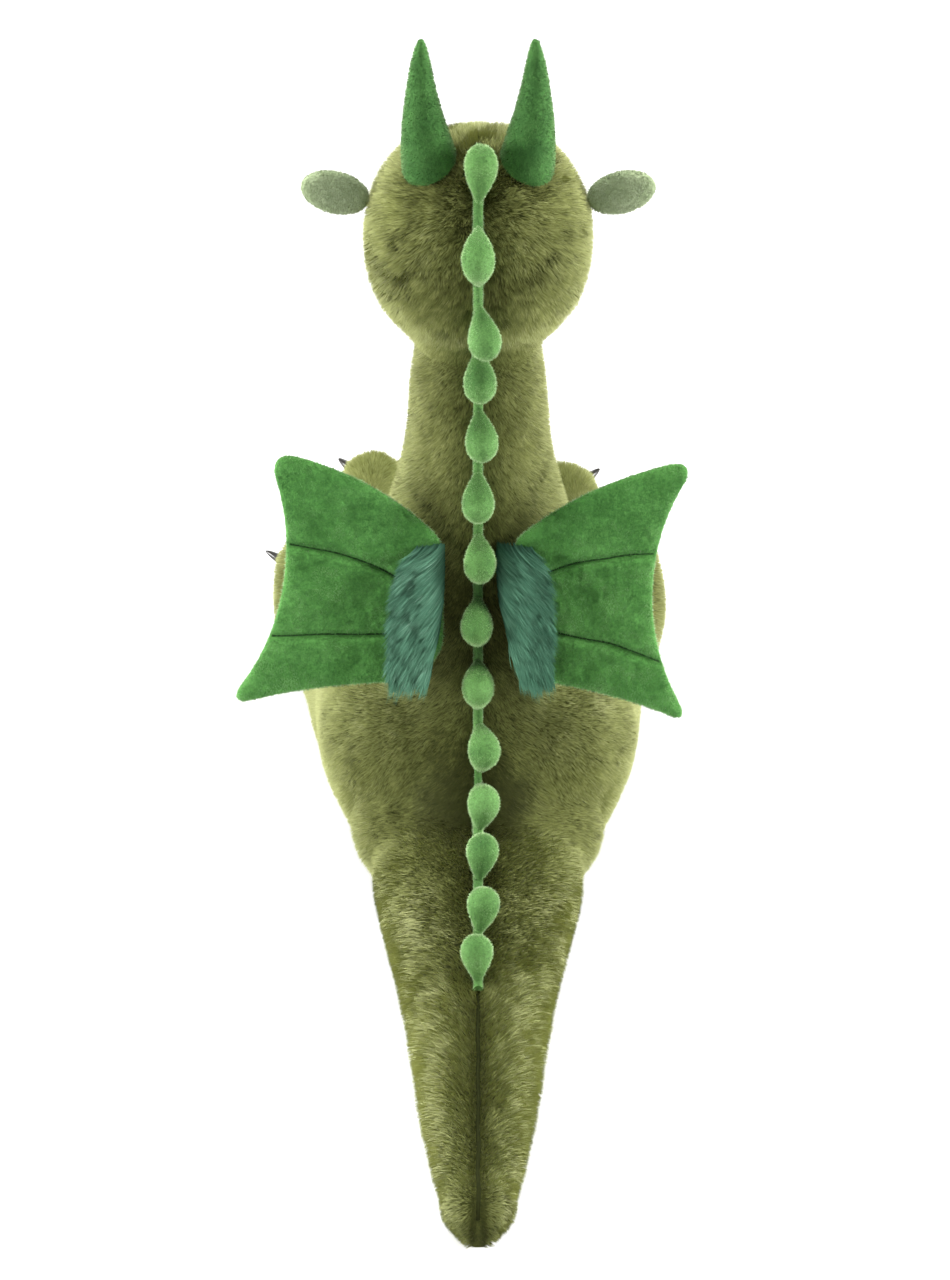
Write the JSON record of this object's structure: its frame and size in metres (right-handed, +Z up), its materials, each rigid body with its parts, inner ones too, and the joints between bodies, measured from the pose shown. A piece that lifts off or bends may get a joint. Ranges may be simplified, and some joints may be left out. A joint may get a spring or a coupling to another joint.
{
  "type": "plush dragon toy",
  "caption": "Seated plush dragon toy with long olive pile, curved green horns, quilted wings with teal tufts, a spiked crest down its back and a tapering tail.",
  "frame": {"origin": "on the floor under the middle of the seat", "axes": "+Z up, the toy faces -Y with its tail along +Y, and its own left side is +X"},
  "size_m": [0.2552, 0.571, 0.5358],
  "materials": {
    "olive_plush": "long brushed pile, 8 to 11 mm",
    "sage_plush": "short velvety pile, 2 mm",
    "green_plush": "short velvety pile, 2 mm",
    "leaf_plush": "short velvety pile, 2 mm",
    "teal_pile": "long straight pile, 35 to 45 mm",
    "stuffing": "polyester fibre, hidden",
    "pellet_bag": "woven pouch, hidden",
    "claw_plastic": "glossy",
    "eye_plastic": "polished dome",
    "washer_plastic": "moulded, hidden"
  },
  "bodies": {
    "plush_body": {"body_panel_left": "olive_plush", "body_panel_right": "olive_plush", "tail_panel_left": "olive_plush", "tail_panel_right": "olive_plush", "head_panel_left": "olive_plush", "head_panel_right": "olive_plush", "seat_panel": "olive_plush", "belly_panel": "sage_plush", "muzzle_cover": "sage_plush", "horn_left": "green_plush", "horn_right": "green_plush", "crest_spike_01": "leaf_plush", "crest_spike_02": "leaf_plush", "crest_spike_03": "leaf_plush", "crest_spike_04": "leaf_plush", "crest_spike_05": "leaf_plush", "crest_spike_06": "leaf_plush", "crest_spike_07": "leaf_plush", "crest_spike_08": "leaf_plush", "crest_spike_09": "leaf_plush", "crest_spike_10": "leaf_plush", "crest_spike_11": "leaf_plush", "crest_spike_12": "leaf_plush", "crest_spike_13": "leaf_plush", "crest_spike_14": "leaf_plush", "body_filling": "stuffing", "tail_filling": "stuffing", "head_filling": "stuffing", "muzzle_filling": "stuffing", "horn_filling_left": "stuffing", "horn_filling_right": "stuffing", "bean_pouch": "pellet_bag", "eye_left": "eye_plastic", "eye_right": "eye_plastic", "eye_washers": "washer_plastic"},
    "wing_left": {"wing_front_left": "green_plush", "wing_back_left": "green_plush", "wing_tuft_left": "teal_pile"},
    "ear_left": {"ear_back_left": "sage_plush", "ear_lining_left": "sage_plush"},
    "arm_left": {"arm_cover_left": "olive_plush", "arm_filling_left": "stuffing", "arm_claws_left": "claw_plastic"},
    "leg_left": {"leg_cover_left": "olive_plush", "leg_filling_left": "stuffing", "leg_sole_left": "sage_plush", "leg_claws_left": "claw_plastic"},
    "wing_right": {"wing_front_right": "green_plush", "wing_back_right": "green_plush", "wing_tuft_right": "teal_pile"},
    "ear_right": {"ear_back_right": "sage_plush", "ear_lining_right": "sage_plush"},
    "arm_right": {"arm_cover_right": "olive_plush", "arm_filling_right": "stuffing", "arm_claws_right": "claw_plastic"},
    "leg_right": {"leg_cover_right": "olive_plush", "leg_filling_right": "stuffing", "leg_sole_right": "sage_plush", "leg_claws_right": "claw_plastic"}
  },
  "joints": [
    {"name": "wing_left_flap", "type": "hinge", "parent": "plush_body", "child": "wing_left", "pos_m": [0.02, 0.03661, 0.236], "axis": [0, -0.3079, 0.9514], "range_deg": [-12, 45], "stiffness_Nm_per_rad": 0.12},
    {"name": "ear_left_fold", "type": "hinge", "parent": "plush_body", "child": "ear_left", "pos_m": [0.0594, -0.012, 0.425], "axis": [-0.309, 0, 0.9511], "range_deg": [-30, 30], "stiffness_Nm_per_rad": 0.05},
    {"name": "arm_left_swing", "type": "hinge", "parent": "plush_body", "child": "arm_left", "pos_m": [0.0733, -0.012, 0.191], "axis": [-1, 0, 0], "range_deg": [-25, 60], "stiffness_Nm_per_rad": 0.5},
    {"name": "leg_left_swing", "type": "hinge", "parent": "plush_body", "child": "leg_left", "pos_m": [0.0753, 0, 0.065], "axis": [-1, 0, 0], "range_deg": [-20, 35], "stiffness_Nm_per_rad": 0.6},
    {"name": "wing_right_flap", "type": "hinge", "parent": "plush_body", "child": "wing_right", "pos_m": [-0.02, 0.03661, 0.236], "axis": [0, 0.3079, -0.9514], "range_deg": [-12, 45], "stiffness_Nm_per_rad": 0.12},
    {"name": "ear_right_fold", "type": "hinge", "parent": "plush_body", "child": "ear_right", "pos_m": [-0.0594, -0.012, 0.425], "axis": [-0.309, 0, -0.9511], "range_deg": [-30, 30], "stiffness_Nm_per_rad": 0.05},
    {"name": "arm_right_swing", "type": "hinge", "parent": "plush_body", "child": "arm_right", "pos_m": [-0.0733, -0.012, 0.191], "axis": [-1, 0, 0], "range_deg": [-25, 60], "stiffness_Nm_per_rad": 0.5},
    {"name": "leg_right_swing", "type": "hinge", "parent": "plush_body", "child": "leg_right", "pos_m": [-0.0753, 0, 0.065], "axis": [-1, 0, 0], "range_deg": [-20, 35], "stiffness_Nm_per_rad": 0.6}
  ]
}
